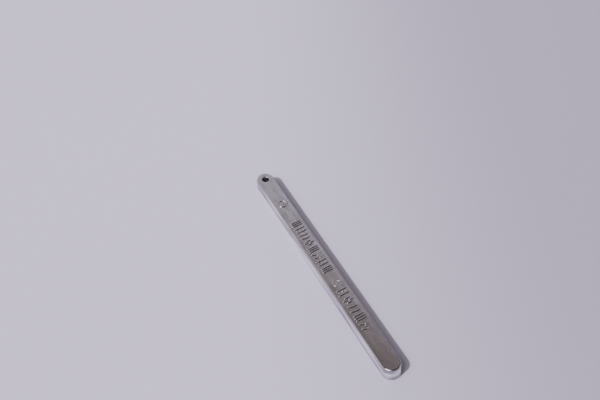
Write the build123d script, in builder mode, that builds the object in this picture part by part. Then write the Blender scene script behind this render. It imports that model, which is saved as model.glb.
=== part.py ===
"""Solder bar: one casting of tin alloy, a long bar with round ends and a cored hanging hole.
Its upper face carries a raised ring and two rows of plain raised ornaments.

The bar lies on its wide face. The origin is the middle of that face, +X runs along the bar
from the holed end to the plain end, and +Z is up. All sizes are millimetres.
"""
import os
from math import asin, atan2, degrees, hypot, radians, tan

from build123d import *

# Overall sizes of the casting
bar_length = 330.0      # over the round ends, along the wide face it lies on
bar_width = 21.0        # across that face
bar_height = 15.5
wall_draft = 1.85       # degrees; the walls lean in towards the upper face, as the mould needs

# Edges
upper_edge_radius = 1.8     # round the upper face, where the metal met the mould's floor
lower_edge_radius = 0.7     # round the face it lies on

# Hanging hole, cored by a tapered pin that left a wide round lip above
hole_radius = 3.9
hole_to_end = 12.5          # from the holed end to the hole's middle
upper_lip_radius = 1.4      # the lip's rounding at the upper face
lower_lip_radius = 0.5      # and at the face below

# Raised ring and pip on the upper face, which the mould's floor is cut to give
ring_to_hole = 49.5         # from the hole's middle to the ring's
ring_radius = 5.1           # to the middle of the stroke
stroke_foot = 2.0
stroke_draft = 35           # degrees, each side of the stroke
relief = 0.8
crest_radius = 0.25
pip_radius = 1.7

# Two rows of raised ornaments along the rest of the face, with strokes as high and as wide
# as the ring's; they run across the bar
ring_to_marks = 38.1        # from the ring's middle to the first ornament's
first_pitch = 11.3
row_gap = 23.9              # from the last ornament of the first row to the second row
second_pitch = 12.9
rim_to_marks = 1.9          # flat left between the strokes' feet and the rounded edge
mark_lean = 6               # degrees out of square with the bar
chevron_lean = 20
stroke_gap = 1.1            # between the feet of strokes that stand end to end
dot_radius = 0.95           # at the foot
first_row = ["bars", "split", "arcs", "brick", "bars", "chevrons", "split", "bars"]
second_row = ["lozenge", "split", "brick", "arcs", "bars", "chevrons"]

# The end arcs take the full width, so the outline is a slot: two half circles and two straights
end_radius = bar_width / 2
straight_length = bar_length - bar_width
hole_x = hole_to_end - bar_length / 2
ring_x = hole_x + ring_to_hole
upper_width = bar_width - 2 * bar_height * tan(radians(wall_draft))

# A full stroke's ends lie this far to each side of the middle; short strokes stand end to end
mark_reach = upper_width / 2 - upper_edge_radius - rim_to_marks
short_length = mark_reach - stroke_gap / 2
short_middle = (mark_reach + stroke_gap / 2) / 2

# Each ornament has its place, the step between its three columns, and its kind
first_x = ring_x + ring_to_marks
second_x = first_x + first_pitch * (len(first_row) - 1) + row_gap
ornaments = [(first_x + first_pitch * n, first_pitch / 4, kind) for n, kind in enumerate(first_row)]
ornaments += [(second_x + second_pitch * n, second_pitch / 4, kind) for n, kind in enumerate(second_row)]

with BuildPart() as solder_bar:
    # Body: the slot outline drawn up with draft on every wall, round ends too
    with BuildSketch(Plane.XY) as outline:
        SlotCenterToCenter(straight_length, 2 * end_radius)
    extrude(amount=bar_height, taper=wall_draft)
    upper_rim = solder_bar.faces().sort_by(Axis.Z)[-1].edges()
    lower_rim = solder_bar.faces().sort_by(Axis.Z)[0].edges()
    fillet(upper_rim, radius=upper_edge_radius)
    fillet(lower_rim, radius=lower_edge_radius)

    # Hanging hole, right through, with its lips
    with Locations((hole_x, 0, bar_height)):
        Hole(radius=hole_radius)
    lips = solder_bar.edges().filter_by(GeomType.CIRCLE)
    lips = lips.filter_by(lambda edge: abs(edge.radius - hole_radius) < 1e-6).sort_by(Axis.Z)
    fillet(lips[-1], radius=upper_lip_radius)
    fillet(lips[0], radius=lower_lip_radius)

    # Ring: the drafted stroke turned about the ring's own upright axis, and a pip in its middle
    with BuildSketch(Plane.XZ) as stroke:
        with Locations((ring_x + ring_radius, bar_height + relief / 2)):
            Trapezoid(stroke_foot, relief, 90 - stroke_draft)
    revolve(axis=Axis((ring_x, 0, 0), (0, 0, 1)))
    pip_crest = pip_radius - relief * tan(radians(stroke_draft))
    with Locations((ring_x, 0, bar_height)):
        Cone(pip_radius, pip_crest, relief, align=(Align.CENTER, Align.CENTER, Align.MIN))
    crests = solder_bar.edges().filter_by(GeomType.CIRCLE).group_by(Axis.Z)[-1]
    fillet(crests, radius=crest_radius)

    # Ornaments: square-ended strokes and dots drawn on the upper face, raised with the ring's draft
    with BuildSketch(Plane.XY.offset(bar_height)) as marks:
        for mark_x, step, kind in ornaments:
            columns = [mark_x - step, mark_x, mark_x + step]
            outer = [columns[0], columns[2]]
            if kind == "bars":
                with Locations([(x, 0) for x in columns]):
                    Rectangle(stroke_foot, 2 * mark_reach, rotation=mark_lean)
            elif kind == "split":
                with Locations([(x, 0) for x in outer]):
                    Rectangle(stroke_foot, 2 * mark_reach, rotation=mark_lean)
                with Locations([(mark_x, y * mark_reach / 3) for y in (-2, 0, 2)]):
                    Circle(dot_radius)
            elif kind == "brick":
                with Locations([(x, 0) for x in outer]):
                    Rectangle(stroke_foot, mark_reach, rotation=mark_lean)
                with Locations([(mark_x, y) for y in (-short_middle, short_middle)]):
                    Rectangle(stroke_foot, short_length, rotation=mark_lean)
            elif kind == "chevrons":
                for side in (-1, 1):
                    with Locations([(x, side * short_middle) for x in outer]):
                        Rectangle(stroke_foot, short_length, rotation=side * chevron_lean)
                with Locations((mark_x, 0)):
                    Circle(dot_radius)
            elif kind == "lozenge":
                # Four sides, each stopping short of the corners where it would meet the next
                half_wide = 1.5 * step
                side = hypot(half_wide, mark_reach)
                short, long = sorted((half_wide, mark_reach))
                corner = (stroke_foot * long + stroke_gap * side) / 2 / short
                side_lean = degrees(atan2(half_wide, mark_reach))
                for x, y in ((1, 1), (1, -1), (-1, 1), (-1, -1)):
                    with Locations((mark_x + x * half_wide / 2, y * mark_reach / 2)):
                        Rectangle(stroke_foot, side - 2 * corner, rotation=x * y * side_lean)
                with Locations((mark_x, 0)):
                    Circle(dot_radius)
            elif kind == "arcs":
                # The arcs' ends are round, and reach as far as the strokes' square ones
                half_angle = degrees(asin((mark_reach - stroke_foot / 2) / (5 * step)))
                for x in outer:
                    SlotArc(CenterArc((x - 4.8 * step, 0), 5 * step, -half_angle, 2 * half_angle), stroke_foot)
    extrude(amount=relief, taper=stroke_draft)

solder_bar.part.label = "solder_bar"

os.makedirs("parts", exist_ok=True)
export_step(solder_bar.part, "parts/solder_bar.step")
print(f"upper face {upper_width:.2f} wide, volume {solder_bar.part.volume / 1000:.2f} cm3")
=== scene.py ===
import bpy
from math import asin, atan2, ceil, cos, degrees, hypot, pi, radians, sin, tan
from mathutils import Matrix, Vector


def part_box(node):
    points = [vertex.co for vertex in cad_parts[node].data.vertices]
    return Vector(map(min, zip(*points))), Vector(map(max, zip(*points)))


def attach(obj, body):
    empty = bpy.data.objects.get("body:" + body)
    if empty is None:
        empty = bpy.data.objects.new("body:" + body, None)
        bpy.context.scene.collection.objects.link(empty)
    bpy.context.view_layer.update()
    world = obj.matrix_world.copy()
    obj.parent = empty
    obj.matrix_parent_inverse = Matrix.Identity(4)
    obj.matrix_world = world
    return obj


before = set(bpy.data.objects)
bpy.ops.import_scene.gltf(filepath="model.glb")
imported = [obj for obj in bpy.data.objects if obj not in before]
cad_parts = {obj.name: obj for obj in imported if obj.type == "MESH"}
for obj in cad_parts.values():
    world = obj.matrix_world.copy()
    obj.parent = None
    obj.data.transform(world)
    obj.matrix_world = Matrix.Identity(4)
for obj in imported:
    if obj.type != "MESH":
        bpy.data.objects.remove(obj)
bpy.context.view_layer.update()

# lengths below are metres, in the bar's own frame: +X runs from the holed end to the plain end
mm = 0.001
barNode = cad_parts["solder_bar"]
relief = 0.8 * mm                       # height of the ring and of the ornaments
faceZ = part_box("solder_bar")[1].z - relief      # the upper face


class Wire:                             # a socket that takes part in sums
    def __init__(self, tree, socket):
        self.tree = tree
        self.socket = socket

    def math(self, operation, *others):
        return self.tree.make("ShaderNodeMath", {"operation": operation}, dict(enumerate((self, *others))))

    def __add__(self, other):
        return self.math("ADD", other)

    def __radd__(self, other):
        return self.math("ADD", other)

    def __sub__(self, other):
        return self.math("SUBTRACT", other)

    def __rsub__(self, other):
        return self.tree.make("ShaderNodeMath", {"operation": "SUBTRACT"}, {0: other, 1: self})

    def __mul__(self, other):
        return self.math("MULTIPLY", other)

    def __rmul__(self, other):
        return self.math("MULTIPLY", other)

    def __truediv__(self, other):
        return self.math("DIVIDE", other)

    def __gt__(self, other):
        return self.math("GREATER_THAN", other)

    def __lt__(self, other):
        return self.math("LESS_THAN", other)


class Tree:                             # adds nodes to one node tree, side by side
    spacing = 190

    def __init__(self, nodeTree):
        self.nodeTree = nodeTree
        self.column = 0

    def node(self, kind, settings=None, inputs=None):
        made = self.nodeTree.nodes.new(kind)
        made.location = (self.column * self.spacing, 0)
        self.column += 1
        for name, value in (settings or {}).items():
            if name == "stops":
                ramp = made.color_ramp
                while len(ramp.elements) < len(value):
                    ramp.elements.new(0.5)
                for element, (place, colour) in zip(ramp.elements, value):
                    element.position = place
                    element.color = (*colour, 1)
            else:
                setattr(made, name, value)
        for name, value in (inputs or {}).items():
            self.join(value, made.inputs[name])
        return made

    def join(self, value, socket):
        if isinstance(value, Wire):
            self.nodeTree.links.new(value.socket, socket)
        elif isinstance(value, tuple) and socket.type == "RGBA":
            socket.default_value = (*value, 1)
        else:
            socket.default_value = value

    def make(self, kind, settings=None, inputs=None, output=0):
        return Wire(self, self.node(kind, settings, inputs).outputs[output])

    def ramp(self, factor, low, high, toLow=0.0, toHigh=1.0):
        return self.make("ShaderNodeMapRange", {"interpolation_type": "SMOOTHSTEP"},
                         {"Value": factor, "From Min": low, "From Max": high,
                          "To Min": toLow, "To Max": toHigh})

    def blend(self, factor, first, second):
        mixed = self.node("ShaderNodeMix", {"data_type": "RGBA"}, {0: factor, 6: first, 7: second})
        return Wire(self, mixed.outputs[2])


def newMaterial(name):
    material = bpy.data.materials.new(name)
    material.use_nodes = True
    material.node_tree.nodes.clear()
    return material, Tree(material.node_tree)


def finishMaterial(tree, shader):
    output = tree.node("ShaderNodeOutputMaterial")
    tree.nodeTree.links.new(shader.outputs[0], output.inputs["Surface"])


alloy = {
    "tint": (0.75, 0.735, 0.75),
    "dullTint": (0.57, 0.555, 0.57),
    "dullShare": 0.55,                  # how much of the dull tint a dull patch shows
    "paintedSheenWallTint": (0.86, 0.86, 0.845),    # the walls are tinted brighter than the face, a painted sheen for the pale floor they mirror
    "dullWallTint": (0.34, 0.335, 0.34),    # with duller streaks
    "markTint": (0.71, 0.695, 0.71),    # the raised marks, a shade duller than the face
    "roughness": (0.11, 0.24),          # cleanest and dullest skin
    "markRoughness": 0.16,
    "boreRoughness": 0.45,
    "holeX": -152.5 * mm,
    "holeRadius": 3.9 * mm,
    "boreSpan": (0.6 * mm, 0.2 * mm),   # outside the hole's radius
    "rimSpan": (-1.2 * mm, -0.6 * mm),  # from the upper face, where the wall's looks pass into the face's
    "markSpan": (0.1 * mm, 0.5 * mm),   # and the face's into the marks'

    # the noises' scales along, across and up, and the spans in which their effects set in
    "waveScale": (24, 60, 60),          # stretched along the bar as the metal ran
    "waveDepth": 0.70 * mm,             # slow unevenness of every face
    "patchScale": (55, 160, 160),
    "dullSpan": (0.42, 0.68),
    "roughSpan": (0.35, 0.70),
    "streakScale": (12, 30, 170),
    "streakSpan": (0.40, 0.60),
    "grainScale": (900, 2600, 2600),
    "grainDepth": 0.004 * mm,
    "shoulderDepth": 0.10 * mm,         # the upper face sinks a little before its rounded edge
    "shoulderSpan": (4.6 * mm, 8.6 * mm),   # from the bar's middle line

    # faint bent scuffs that handling leaves in some places, in two directions
    "rubbedScale": (38, 90, 90),
    "rubbedSpan": (0.42, 0.58),
    "scuffScale": (50, 1700, 1700),
    "scuffSpan": (0.64, 0.72),
    "scuffLean": 9,                     # degrees
    "crossScale": (1500, 70, 400),
    "crossSpan": (0.66, 0.74),
    "crossLean": -24,
    "crossShare": 0.7,
    "bend": (7 * mm, 7 * mm, 7 * mm),   # how far they stray from straight
    "bendScale": 45.0,
    "scuffDepth": 0.004 * mm,
    "scuffRoughness": 0.22,             # what a scuff adds

    "pitDepth": 0.05 * mm,
    "pitRadius": 0.22 * mm,
    "pitFloor": 0.3,                    # share of the radius that lies at full depth
    "pitSpacing": 6.0 * mm,
    "pitless": 0.6,                     # share of the places that stay without one
    "crystal": 4.0 * mm,                # frosted patches where the alloy set, each a shade apart
    "crystalShare": 0.18,
    "crystalRoughness": 0.03,
}


def castTin():
    material, tree = newMaterial("castTin")
    where = tree.make("ShaderNodeTexCoord", output="Object")
    axes = tree.node("ShaderNodeSeparateXYZ", inputs={0: where})
    along, across, up = [Wire(tree, socket) for socket in axes.outputs]

    def cloud(scale, detail=2.0, rough=0.5, turn=(0.0, 0.0, 0.0), source=where):
        place = tree.make("ShaderNodeMapping", inputs={"Vector": source, "Rotation": turn, "Scale": scale})
        return tree.make("ShaderNodeTexNoise", inputs={
            "Vector": place, "Scale": 1.0, "Detail": detail, "Roughness": rough})

    wave = cloud(alloy["waveScale"])
    patches = cloud(alloy["patchScale"], 5.0, 0.6)
    grain = cloud(alloy["grainScale"], 3.0)
    raised = tree.ramp(up, *[faceZ + edge for edge in alloy["markSpan"]])
    upper = tree.ramp(up, *[faceZ + edge for edge in alloy["rimSpan"]])
    shoulder = tree.ramp(across.math("ABSOLUTE"), *alloy["shoulderSpan"], 1.0, 0.0) * upper

    bend = tree.make("ShaderNodeTexNoise", inputs={"Vector": where, "Scale": alloy["bendScale"]},
                     output="Color")
    bend = tree.make("ShaderNodeVectorMath", {"operation": "MULTIPLY_ADD"},
                     {0: bend, 1: alloy["bend"], 2: where})

    def scratched(scale, lean, span):
        return tree.ramp(cloud(scale, 1.0, 0.5, (0.0, 0.0, radians(lean)), bend), *span)

    rubbed = tree.ramp(cloud(alloy["rubbedScale"]), *alloy["rubbedSpan"])
    scuffs = scratched(alloy["scuffScale"], alloy["scuffLean"], alloy["scuffSpan"])
    crossing = scratched(alloy["crossScale"], alloy["crossLean"], alloy["crossSpan"])
    scuffs = scuffs.math("MAXIMUM", crossing * alloy["crossShare"]) * rubbed

    # a few shallow pits where gas was trapped
    cells = tree.node("ShaderNodeTexVoronoi", {"feature": "F1"}, {
        "Vector": where, "Scale": 1 / alloy["pitSpacing"], "Randomness": 1.0})
    chosen = tree.node("ShaderNodeSeparateColor", inputs={0: Wire(tree, cells.outputs["Color"])})
    fromPit = Wire(tree, cells.outputs["Distance"]) * alloy["pitSpacing"]
    pit = tree.ramp(fromPit, alloy["pitRadius"], alloy["pitFloor"] * alloy["pitRadius"])
    pit = pit * (Wire(tree, chosen.outputs[0]) > alloy["pitless"])

    crystals = tree.node("ShaderNodeTexVoronoi", {"feature": "SMOOTH_F1"}, {
        "Vector": where, "Scale": 1 / alloy["crystal"], "Smoothness": 0.25, "Randomness": 1.0})
    shade = tree.node("ShaderNodeSeparateColor", inputs={0: Wire(tree, crystals.outputs["Color"])})
    shade = Wire(tree, shade.outputs[1])

    height = (wave * alloy["waveDepth"] + shoulder * alloy["shoulderDepth"] + grain * alloy["grainDepth"]
              - scuffs * alloy["scuffDepth"] - pit * alloy["pitDepth"])
    bump = tree.make("ShaderNodeBump", {}, {"Strength": 1.0, "Distance": 1.0, "Height": height})

    dull = tree.ramp(patches, *alloy["dullSpan"]) * alloy["dullShare"]
    face = tree.blend(dull + shade * alloy["crystalShare"], alloy["tint"], alloy["dullTint"])
    streaks = tree.ramp(cloud(alloy["streakScale"], 4.0), *alloy["streakSpan"])
    # the walls mirror the floor in the shader, and their raised tint adds painted sheen on top, with duller
    # streaks at random
    wall = tree.blend(streaks, alloy["paintedSheenWallTint"], alloy["dullWallTint"])
    base = tree.blend(raised, tree.blend(upper, wall, face), alloy["markTint"])

    radius = tree.make("ShaderNodeVectorMath", {"operation": "LENGTH"}, {
        0: tree.make("ShaderNodeCombineXYZ", inputs={"X": along - alloy["holeX"], "Y": across})}, output=1)
    bore = tree.ramp(radius, *[alloy["holeRadius"] + edge for edge in alloy["boreSpan"]])
    roughness = tree.ramp(patches, *alloy["roughSpan"], *alloy["roughness"])
    roughness = roughness + scuffs * alloy["scuffRoughness"] + shade * alloy["crystalRoughness"]
    roughness = roughness + raised * (alloy["markRoughness"] - roughness)
    roughness = roughness + bore * (alloy["boreRoughness"] - roughness)
    shader = tree.node("ShaderNodeBsdfPrincipled", {}, {
        "Base Color": base, "Roughness": roughness, "Normal": bump, "Metallic": 1.0})
    finishMaterial(tree, shader)
    return material


def grown(name, lines, makeTree, material):     # runs a node tree and keeps what it made as a plain mesh
    bpy.context.scene.collection.objects.link(lines)
    group, idents, values = makeTree(material, lines)
    carrier = bpy.data.objects.new(name + "Carrier", bpy.data.meshes.new(name + "Carrier"))
    bpy.context.scene.collection.objects.link(carrier)
    modifier = carrier.modifiers.new(name, "NODES")
    modifier.node_group = group
    for label, ident in idents.items():
        modifier[ident] = values[label]
    bpy.context.view_layer.update()
    graph = bpy.context.evaluated_depsgraph_get()
    mesh = bpy.data.meshes.new_from_object(carrier.evaluated_get(graph), depsgraph=graph)
    bpy.data.objects.remove(carrier)
    bpy.data.objects.remove(lines)
    piece = bpy.data.objects.new(name, mesh)
    bpy.context.scene.collection.objects.link(piece)
    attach(piece, "root")
    print(name, "made,", len(mesh.polygons), "faces")
    return piece


def openTree(name, values):             # a geometry tree with one named input for each size
    group = bpy.data.node_groups.new(name, "GeometryNodeTree")
    group.interface.new_socket("Geometry", in_out="OUTPUT", socket_type="NodeSocketGeometry")
    idents = {}
    for label, value in values.items():
        socket = group.interface.new_socket(label, in_out="INPUT", socket_type="NodeSocketFloat")
        socket.default_value = value
        idents[label] = socket.identifier
    tree = Tree(group)
    given = tree.node("NodeGroupInput")
    return group, idents, tree, {label: Wire(tree, given.outputs[label]) for label in values}


def closeTree(group, tree, geometry, material):
    real = tree.make("GeometryNodeRealizeInstances", {}, {"Geometry": geometry})
    painted = tree.make("GeometryNodeSetMaterial", {}, {"Geometry": real, "Material": material})
    end = tree.node("NodeGroupOutput")
    group.links.new(painted.socket, end.inputs[0])


# the ring and the ornaments, laid out as the solid has them, under the soft skin that casting gives
marks = {
    "ringX": -103.0 * mm,
    "ringRadius": 5.1 * mm,
    "firstX": -64.9 * mm,               # middle of the first ornament
    "firstPitch": 11.3 * mm,
    "secondX": 38.1 * mm,
    "secondPitch": 12.9 * mm,
    "firstRow": ["bars", "split", "arcs", "brick", "bars", "chevrons", "split", "bars"],
    "secondRow": ["lozenge", "split", "brick", "arcs", "bars", "chevrons"],
    "reach": 6.3 * mm,                  # from the bar's middle line to the strokes' ends
    "foot": 2.0 * mm,                   # width of the solid's strokes
    "gap": 1.1 * mm,                    # between strokes that stand end to end
    "lean": 6,                          # degrees
    "chevronLean": 20,
    "cover": 0.06 * mm,                 # how far the skin rises over the solid's strokes
    "halfStroke": 1.2 * mm,             # the skin's, at the foot
    "roundEnd": 0.6 * mm,               # the skin's middle line stops this far inside a stroke's end
    "pipFlat": 0.62 * mm,               # the pip's top is this much wider than a dot's, all round
    "pipMiddle": 0.01 * mm,             # what lies nearer to the ring's middle isn't moved for it
    "power": 1.5,                       # of the section's curve: a lower one gives a fuller crest
    "step": 0.9 * mm,                   # along a stroke
    "ringSteps": 64,
    "arcSteps": 16,
    "rings": 12,                        # from a stroke's middle to its foot
    "spokes": 12,                       # round one end
    "wobble": 0.16 * mm,
    "wobbleLength": 4.0 * mm,
    "sink": 0.02 * mm,                  # the skin's foot starts this far inside the metal
    "root": 0.3 * mm,                   # and goes this much deeper
    "weld": 0.001 * mm,
    "arcRadius": 5.0,                   # these three are counted in steps between an ornament's columns
    "arcMiddle": 4.8,                   # from an arc's column back to its middle
    "lozengeReach": 1.5,
}


def straight(x, y, length, lean):
    half = Vector((-sin(radians(lean)), cos(radians(lean)))) * (length / 2 - marks["roundEnd"])
    steps = ceil(2 * half.length / marks["step"])
    return [Vector((x, y)) + half * (2 * k / steps - 1) for k in range(steps + 1)]


def arcPoints(x, radius, start, stop, steps):
    angles = [radians(start + (stop - start) * k / steps) for k in range(steps + 1)]
    return [Vector((x + radius * cos(a), radius * sin(a))) for a in angles]


def ornament(kind, x, step):            # the middle lines of its strokes, and its dots as single points
    reach, foot, gap, lean = marks["reach"], marks["foot"], marks["gap"], marks["lean"]
    outer = (x - step, x + step)
    short, middle = reach - gap / 2, (reach + gap / 2) / 2
    dots = [[Vector((x, y))] for y in (-2 * reach / 3, 0, 2 * reach / 3)]
    if kind == "bars":
        return [straight(place, 0, 2 * reach, lean) for place in (x - step, x, x + step)]
    if kind == "split":
        return [straight(place, 0, 2 * reach, lean) for place in outer] + dots
    if kind == "brick":
        strokes = [straight(place, 0, reach, lean) for place in outer]
        return strokes + [straight(x, y, short, lean) for y in (-middle, middle)]
    if kind == "chevrons":
        return [straight(place, side * middle, short, side * marks["chevronLean"])
                for place in outer for side in (-1, 1)] + dots[1:2]
    if kind == "lozenge":
        wide = marks["lozengeReach"] * step
        side = hypot(wide, reach)
        shorter, longer = sorted((wide, reach))
        corner = (foot * longer + gap * side) / 2 / shorter
        sideLean = degrees(atan2(wide, reach))
        return [straight(x + a * wide / 2, b * reach / 2, side - 2 * corner, a * b * sideLean)
                for a, b in ((1, 1), (1, -1), (-1, 1), (-1, -1))] + dots[1:2]
    radius = marks["arcRadius"] * step
    bend = degrees(asin((reach - foot / 2) / radius))
    return [arcPoints(place - marks["arcMiddle"] * step, radius, -bend, bend, marks["arcSteps"])
            for place in outer]


def strokeLines():
    ring = arcPoints(marks["ringX"], marks["ringRadius"], 0, 360, marks["ringSteps"])[:-1]
    points, edges = list(ring), [(k, (k + 1) % len(ring)) for k in range(len(ring))]
    isEnd, turn, flat = [0.0] * len(ring), [0.0] * len(ring), [0.0] * len(ring)

    # each stroke's two ends know the way they face, and a dot is two ends back to back
    strokes = [[Vector((marks["ringX"], 0))]]
    for row in ("first", "second"):
        pitch = marks[row + "Pitch"]
        for place, kind in enumerate(marks[row + "Row"]):
            strokes += ornament(kind, marks[row + "X"] + pitch * place, pitch / 4)
    for stroke in strokes:
        first = len(points)
        if len(stroke) == 1:
            stroke, ways = stroke * 2, (Vector((-1, 0)), Vector((1, 0)))
        else:
            edges += [(first + k, first + k + 1) for k in range(len(stroke) - 1)]
            ways = (stroke[0] - stroke[1], stroke[-1] - stroke[-2])
        inner = [0.0] * (len(stroke) - 2)
        points += stroke
        isEnd += [1.0] + inner + [1.0]
        turn += [atan2(ways[0].y, ways[0].x)] + inner + [atan2(ways[1].y, ways[1].x)]
        flat += [marks["pipFlat"] if first == len(ring) else 0.0] * len(stroke)     # the first is the pip
    mesh = bpy.data.meshes.new("strokeLines")
    mesh.from_pydata([(point.x, point.y, 0.0) for point in points], edges, [])
    for name, values in (("isEnd", isEnd), ("turn", turn), ("flat", flat)):
        mesh.attributes.new(name, "FLOAT", "POINT").data.foreach_set("value", values)
    return bpy.data.objects.new("strokeLines", mesh)


def markTree(material, lines):
    values = {
        "Relief": relief + marks["cover"] + marks["sink"], "Half stroke": marks["halfStroke"],
        "Floor": faceZ - marks["sink"], "Root": marks["root"], "Wobble": marks["wobble"],
    }
    group, idents, tree, take = openTree("raisedMarks", values)
    strokes = tree.make("GeometryNodeObjectInfo", {"transform_space": "ORIGINAL"}, {"Object": lines},
                        output="Geometry")
    here = tree.node("ShaderNodeSeparateXYZ", inputs={0: tree.make("GeometryNodeInputPosition")})
    x, y, z = [Wire(tree, socket) for socket in here.outputs]
    edge, top = take["Half stroke"], take["Relief"]

    def vector(x, y, z):
        return tree.make("ShaderNodeCombineXYZ", inputs={"X": x, "Y": y, "Z": z})

    def kept(name):
        return tree.make("GeometryNodeInputNamedAttribute", {"data_type": "FLOAT"}, {"Name": name})

    def rise(distance):                 # a stroke's height at some distance from its middle line
        out = (distance / edge).math("MINIMUM", 1.0)
        return (1.0 - out * out * out).math("POWER", marks["power"]) * top

    def moved(geometry, offset):
        return tree.make("GeometryNodeSetPosition", {}, {"Geometry": geometry, "Offset": offset})

    def joined(*parts):
        whole = tree.node("GeometryNodeJoinGeometry")
        for part in parts:
            group.links.new(part.socket, whole.inputs[0])
        return tree.make("GeometryNodeMergeByDistance", {}, {
            "Geometry": Wire(tree, whole.outputs[0]), "Distance": marks["weld"]})

    # the stroke's section, whose -Y side comes out on top when it is swept along the middle lines
    section = tree.make("GeometryNodeCurvePrimitiveLine", {}, {
        "Start": vector(edge * -1.0, 0.0, 0.0), "End": vector(edge, 0.0, 0.0)})
    section = tree.make("GeometryNodeResampleCurve", {}, {"Curve": section, "Count": 2 * marks["rings"] + 1})
    section = moved(section, vector(0.0, rise(x.math("ABSOLUTE")) * -1.0, 0.0))
    curve = tree.make("GeometryNodeMeshToCurve", {}, {"Mesh": strokes})
    curve = tree.make("GeometryNodeSetCurveNormal", {"mode": "Z_UP"}, {"Curve": curve})
    swept = tree.make("GeometryNodeCurveToMesh", {}, {"Curve": curve, "Profile Curve": section})

    # half a round for each end, from a sheet whose sides are distance and angle
    half = tree.make("GeometryNodeMeshGrid", {}, {
        "Size X": edge, "Size Y": pi, "Vertices X": marks["rings"] + 1, "Vertices Y": marks["spokes"] + 1})
    distance = x + edge * 0.5
    half = tree.make("GeometryNodeSetPosition", {}, {"Geometry": half, "Position": vector(
        distance * y.math("COSINE"), distance * y.math("SINE"), rise(distance))})
    facing = tree.make("FunctionNodeEulerToRotation", {}, {0: vector(0.0, 0.0, kept("turn"))})
    ends = tree.make("GeometryNodeInstanceOnPoints", {}, {
        "Points": strokes, "Selection": kept("isEnd") > 0.5, "Instance": half, "Rotation": facing})
    ends = tree.make("GeometryNodeRealizeInstances", {}, {"Geometry": ends})
    away = vector(x - marks["ringX"], y, 0.0)
    apart = tree.make("ShaderNodeVectorMath", {"operation": "LENGTH"}, {0: away}, output=1)
    ends = moved(ends, tree.make("ShaderNodeVectorMath", {"operation": "SCALE"}, {
        0: tree.make("ShaderNodeVectorMath", {"operation": "NORMALIZE"}, {0: away}),
        "Scale": kept("flat") * (apart > marks["pipMiddle"])}))

    # one sheet that faces up and wobbles a little, as nothing cast is quite straight
    whole = joined(swept, ends)
    normal = tree.node("ShaderNodeSeparateXYZ", inputs={0: tree.make("GeometryNodeInputNormal")})
    whole = tree.make("GeometryNodeFlipFaces", {}, {
        "Mesh": whole, "Selection": Wire(tree, normal.outputs[2]) < 0.0})
    cloud = tree.make("ShaderNodeTexNoise", inputs={"Scale": 1 / marks["wobbleLength"], "Detail": 1.0},
                      output="Color")
    shift = tree.node("ShaderNodeSeparateXYZ", inputs={0: cloud})
    shift = [(Wire(tree, socket) - 0.5) * take["Wobble"] for socket in shift.outputs]
    raised = moved(whole, vector(shift[0], shift[1], shift[2] * (z / top) + take["Floor"]))

    # close it below, inside the metal
    below = tree.make("GeometryNodeExtrudeMesh", {"mode": "FACES"}, {
        "Mesh": raised, "Offset": vector(0.0, 0.0, take["Root"] * -1.0),
        "Offset Scale": 1.0, "Individual": False})
    below = tree.make("GeometryNodeFlipFaces", {}, {"Mesh": below})
    smooth = tree.make("GeometryNodeSetShadeSmooth", {}, {"Geometry": joined(below, raised)})
    closeTree(group, tree, smooth, material)
    return group, idents, values


# faint wandering lines on the walls where one run of metal froze against the next
laps = {
    "levels": [(10.6 * mm, 1.0), (4.9 * mm, 0.6)],     # heights and sizes
    "wander": 2.0 * mm,
    "depth": 0.17 * mm,
    "height": 0.80 * mm,
    "section": [(-0.8, -0.8), (1.0, -0.05), (1.0, 0.1), (-0.8, 0.5)],   # in shares of depth and height
    "fold": 1.2,                        # edges that turn further than this, in radians, stay sharp
    "broken": 0.47,                     # noise below this leaves a gap
    "breakScale": 26.0,
    "wanderScale": 40.0,
    "swellScale": 120.0,
    "swell": 0.9,                       # how much a line swells and thins on its way
    "thinnest": 0.35,
    "endSize": 0.06,                    # what is left of its section at the ends
    "levelShift": 9.0,                  # the levels' noises lie this far apart, times their sizes
    "wallSteps": 180,
    "endSteps": 24,                     # round one end of the bar
    "halfWidth": 10.5 * mm,             # the walls' outline at the floor, and their lean
    "length": 330 * mm,
    "draft": 1.85,
    "seed": 9,
}


def lapLines():                         # the walls' outline at each level, as loops of edges
    points, edges, sizes = [], [], []
    for level, size in laps["levels"]:
        radius = laps["halfWidth"] - level * tan(radians(laps["draft"]))
        reach = laps["length"] / 2 - laps["halfWidth"]
        steps, bends = laps["wallSteps"], laps["endSteps"]
        loop = [(-reach + 2 * reach * k / steps, -radius) for k in range(steps)]
        loop += [(reach + radius * sin(pi * k / bends), -radius * cos(pi * k / bends)) for k in range(bends)]
        loop += [(-x, -y) for x, y in loop]
        first = len(points)
        points += [(x, y, level) for x, y in loop]
        edges += [(first + k, first + (k + 1) % len(loop)) for k in range(len(loop))]
        sizes += [size] * len(loop)
    mesh = bpy.data.meshes.new("lapLines")
    mesh.from_pydata(points, edges, [])
    mesh.attributes.new("size", "FLOAT", "POINT").data.foreach_set("value", sizes)
    return bpy.data.objects.new("lapLines", mesh)


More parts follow.
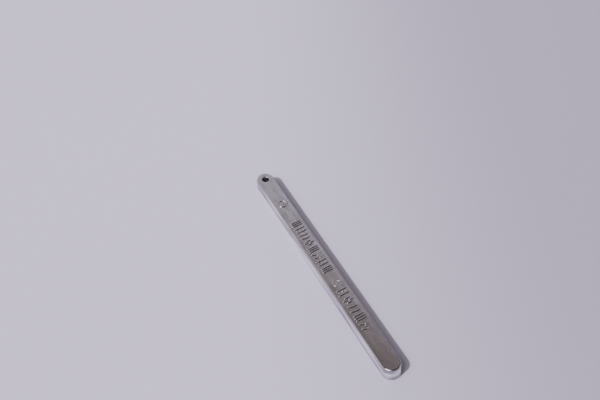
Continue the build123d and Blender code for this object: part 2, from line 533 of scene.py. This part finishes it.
def lapTree(material, lines):
    values = {"Wander": laps["wander"], "Depth": laps["depth"], "Height": laps["height"],
              "Broken": laps["broken"], "Seed": float(laps["seed"])}
    group, idents, tree, take = openTree("coldLaps", values)
    loops = tree.make("GeometryNodeObjectInfo", {"transform_space": "ORIGINAL"}, {"Object": lines},
                      output="Geometry")
    where = tree.make("GeometryNodeInputPosition")
    size = tree.make("GeometryNodeInputNamedAttribute", {"data_type": "FLOAT"}, {"Name": "size"})

    def cloud(scale, shift):            # the shift tells the noises apart, and the size the levels
        return tree.make("ShaderNodeTexNoise", {"noise_dimensions": "4D"}, {
            "Vector": where, "W": take["Seed"] + shift + size * laps["levelShift"],
            "Scale": scale, "Detail": 2.0})

    # gaps, then a wandering line with thinning ends
    kept = tree.make("GeometryNodeDeleteGeometry", {"domain": "POINT"}, {
        "Geometry": loops, "Selection": cloud(laps["breakScale"], 0.0) < take["Broken"]})
    curve = tree.make("GeometryNodeMeshToCurve", {}, {"Mesh": kept})
    shift = tree.make("ShaderNodeCombineXYZ", inputs={
        "Z": (cloud(laps["wanderScale"], 5.0) - 0.5) * take["Wander"] * 2.0})
    curve = tree.make("GeometryNodeSetPosition", {}, {"Geometry": curve, "Offset": shift})
    factor = tree.make("GeometryNodeSplineParameter", output="Factor")
    swell = cloud(laps["swellScale"], 9.0) * laps["swell"] + laps["thinnest"]
    thin = ((factor * (1.0 - factor) * 4.0).math("POWER", 0.5) * swell + laps["endSize"]) * size
    curve = tree.make("GeometryNodeSetCurveNormal", {"mode": "Z_UP"}, {"Curve": curve})
    curve = tree.make("GeometryNodeSetCurveRadius", {}, {"Curve": curve, "Radius": thin})
    corner = [tree.make("ShaderNodeCombineXYZ", inputs={"X": take["Depth"] * x, "Y": take["Height"] * y})
              for x, y in laps["section"]]
    profile = tree.make("GeometryNodeCurvePrimitiveQuadrilateral", {"mode": "POINTS"}, {
        "Point 1": corner[0], "Point 2": corner[1], "Point 3": corner[2], "Point 4": corner[3]})
    swept = tree.make("GeometryNodeCurveToMesh", {}, {
        "Curve": curve, "Profile Curve": profile, "Fill Caps": True})
    fold = tree.make("GeometryNodeInputMeshEdgeAngle") > laps["fold"]
    creased = tree.make("GeometryNodeSetShadeSmooth", {"domain": "EDGE"}, {
        "Geometry": swept, "Selection": fold, "Shade Smooth": False})
    closeTree(group, tree, creased, material)
    return group, idents, values


ground = {
    "tint": (0.62, 0.575, 0.72),
    "paintedShadeTint": (0.39, 0.36, 0.465),     # painted shade: the floor darkens towards the right of the picture, as light falling off would
    "fade": (-0.12, 0.30),              # metres from the bar's middle
    "roughness": 0.30,
    "halfSize": 4.0,
}


def paleFloor():
    material, tree = newMaterial("paleFloor")
    where = tree.make("ShaderNodeTexCoord", output="Object")
    turn = radians(photoView["azimuth"])
    aside = tree.make("ShaderNodeVectorMath", {"operation": "DOT_PRODUCT"},
                      {0: where, 1: (cos(turn), sin(turn), 0.0)}, output=1)
    # painted shade: the floor's colour darkens towards the right of the picture
    shade = tree.blend(tree.ramp(aside, *ground["fade"]), ground["tint"], ground["paintedShadeTint"])
    shader = tree.node("ShaderNodeBsdfPrincipled", {}, {
        "Base Color": shade, "Roughness": ground["roughness"]})
    finishMaterial(tree, shader)
    return material


def floor():
    mesh = bpy.data.meshes.new("floor")
    half = ground["halfSize"]
    corners = [(-half, -half, 0), (half, -half, 0), (half, half, 0), (-half, half, 0)]
    mesh.from_pydata(corners, [], [(0, 1, 2, 3)])
    piece = bpy.data.objects.new("floor", mesh)
    bpy.context.scene.collection.objects.link(piece)
    mesh.materials.append(paleFloor())


photoView = {
    "aim": (-98.88 * mm, 20.88 * mm, 15.5 * mm),
    "distance": 1042.3 * mm,
    "azimuth": 68.435,
    "elevation": 43.521,
    "roll": -5.578,
    "lens": 52.896,
    "sensor": 36.0,
    "nearest": 10 * mm,
}


def camera():
    data = bpy.data.cameras.new("photoCamera")
    data.lens = photoView["lens"]
    data.sensor_width = photoView["sensor"]
    data.clip_start = photoView["nearest"]
    thing = bpy.data.objects.new("photoCamera", data)
    bpy.context.scene.collection.objects.link(thing)
    turn = Matrix.Rotation(radians(photoView["azimuth"]), 4, "Z")
    tilt = Matrix.Rotation(radians(90 - photoView["elevation"]), 4, "X")
    roll = Matrix.Rotation(radians(photoView["roll"]), 4, "Z")
    facing = turn @ tilt @ roll
    back = facing.to_3x3() @ Vector((0, 0, 1))
    thing.matrix_world = Matrix.Translation(Vector(photoView["aim"]) + back * photoView["distance"]) @ facing
    bpy.context.scene.camera = thing


studio = {
    "dome": (0.078, 0.070, 0.073),
    "panel": (0.55, 0.50, 0.53),        # tall pale sheets off to both sides
    "panelSide": (0.84, 0.93),          # spans are shares of the whole way to that side or upwards
    "panelFoot": (0.03, 0.12),
    "panelTop": (0.60, 0.45),
    "card": (0.90, 0.86, 1.0),          # behind the floor's edge, for the camera alone
    "farAhead": (0.30, 0.46),
    "farAside": (0.40, 0.22),
    # what lies beyond the holed end, as seen from the camera: the share upwards and its colour
    "farSide": [(0.0, (0.45, 0.42, 0.52)), (0.40, (0.66, 0.61, 0.76)), (0.58, (0.64, 0.595, 0.745)),
                (0.68, (0.515, 0.475, 0.555)), (0.745, (0.335, 0.290, 0.292)), (0.80, (0.200, 0.166, 0.168)),
                (0.85, (0.176, 0.145, 0.148)), (0.90, (0.078, 0.070, 0.073))],
    "sunTurn": 163.0,                   # degrees from +Y, the way the light comes from
    "sunRise": 48.0,
    "key": {"power": 4.2, "angle": 1.5, "tint": (0.95, 0.92, 1.0), "mirrored": False},
    # the same light again, broad, as the gloss shows it
    "glint": {"power": 1.7, "angle": 40.0, "tint": (0.95, 0.92, 1.0), "mirrored": True},
    # softens the shadows
    "fill": {"power": 0.33, "angle": 180.0, "tint": (1.0, 0.95, 0.70), "mirrored": False},
}


def sky():
    world = bpy.data.worlds.new("studioSky")
    bpy.context.scene.world = world
    world.use_nodes = True
    world.node_tree.nodes.clear()
    tree = Tree(world.node_tree)
    way = tree.make("ShaderNodeTexCoord", output="Generated")
    axes = tree.node("ShaderNodeSeparateXYZ", inputs={0: way})
    up = Wire(tree, axes.outputs[2])
    far = tree.make("ShaderNodeValToRGB", {"stops": studio["farSide"]}, {0: up})
    turn = radians(photoView["azimuth"])
    ahead = tree.make("ShaderNodeVectorMath", {"operation": "DOT_PRODUCT"},
                      {0: way, 1: (-sin(turn), cos(turn), 0.0)}, output=1)
    aside = tree.make("ShaderNodeVectorMath", {"operation": "DOT_PRODUCT"},
                      {0: way, 1: (cos(turn), sin(turn), 0.0)}, output=1)
    panel = tree.ramp(aside.math("ABSOLUTE"), *studio["panelSide"]) * tree.ramp(up, *studio["panelFoot"])
    panel = panel * tree.ramp(up, *studio["panelTop"])
    patch = tree.ramp(ahead, *studio["farAhead"]) * tree.ramp(aside, *studio["farAside"])
    glow = tree.blend(patch, tree.blend(panel, studio["dome"], studio["panel"]), far)
    seen = tree.make("ShaderNodeLightPath", output="Is Camera Ray")
    glow = tree.blend(seen, glow, studio["card"])
    shader = tree.node("ShaderNodeBackground", {}, {"Color": glow, "Strength": 1.0})
    output = tree.node("ShaderNodeOutputWorld")
    world.node_tree.links.new(shader.outputs[0], output.inputs["Surface"])


def lamp(name, comesFrom):
    look = studio[name]
    data = bpy.data.lights.new(name, "SUN")
    data.energy = look["power"]
    data.angle = radians(look["angle"])
    data.color = look["tint"]
    thing = bpy.data.objects.new(name, data)
    thing.visible_glossy = look["mirrored"]
    thing.rotation_mode = "QUATERNION"
    thing.rotation_quaternion = comesFrom.to_track_quat("Z", "Y")
    bpy.context.scene.collection.objects.link(thing)


def lamps():
    turn, rise = radians(studio["sunTurn"]), radians(studio["sunRise"])
    sunward = Vector((sin(turn) * cos(rise), cos(turn) * cos(rise), sin(rise)))
    lamp("key", sunward)
    lamp("glint", sunward)
    lamp("fill", Vector((0, 0, 1)))


camera()
print("camera set")
sky()
lamps()
floor()
print("studio lit")
tin = castTin()
for slot in barNode.material_slots:
    slot.material = tin
print("alloy on the bar")
grown("raised_marks", strokeLines(), markTree, tin)
grown("cold_laps", lapLines(), lapTree, tin)
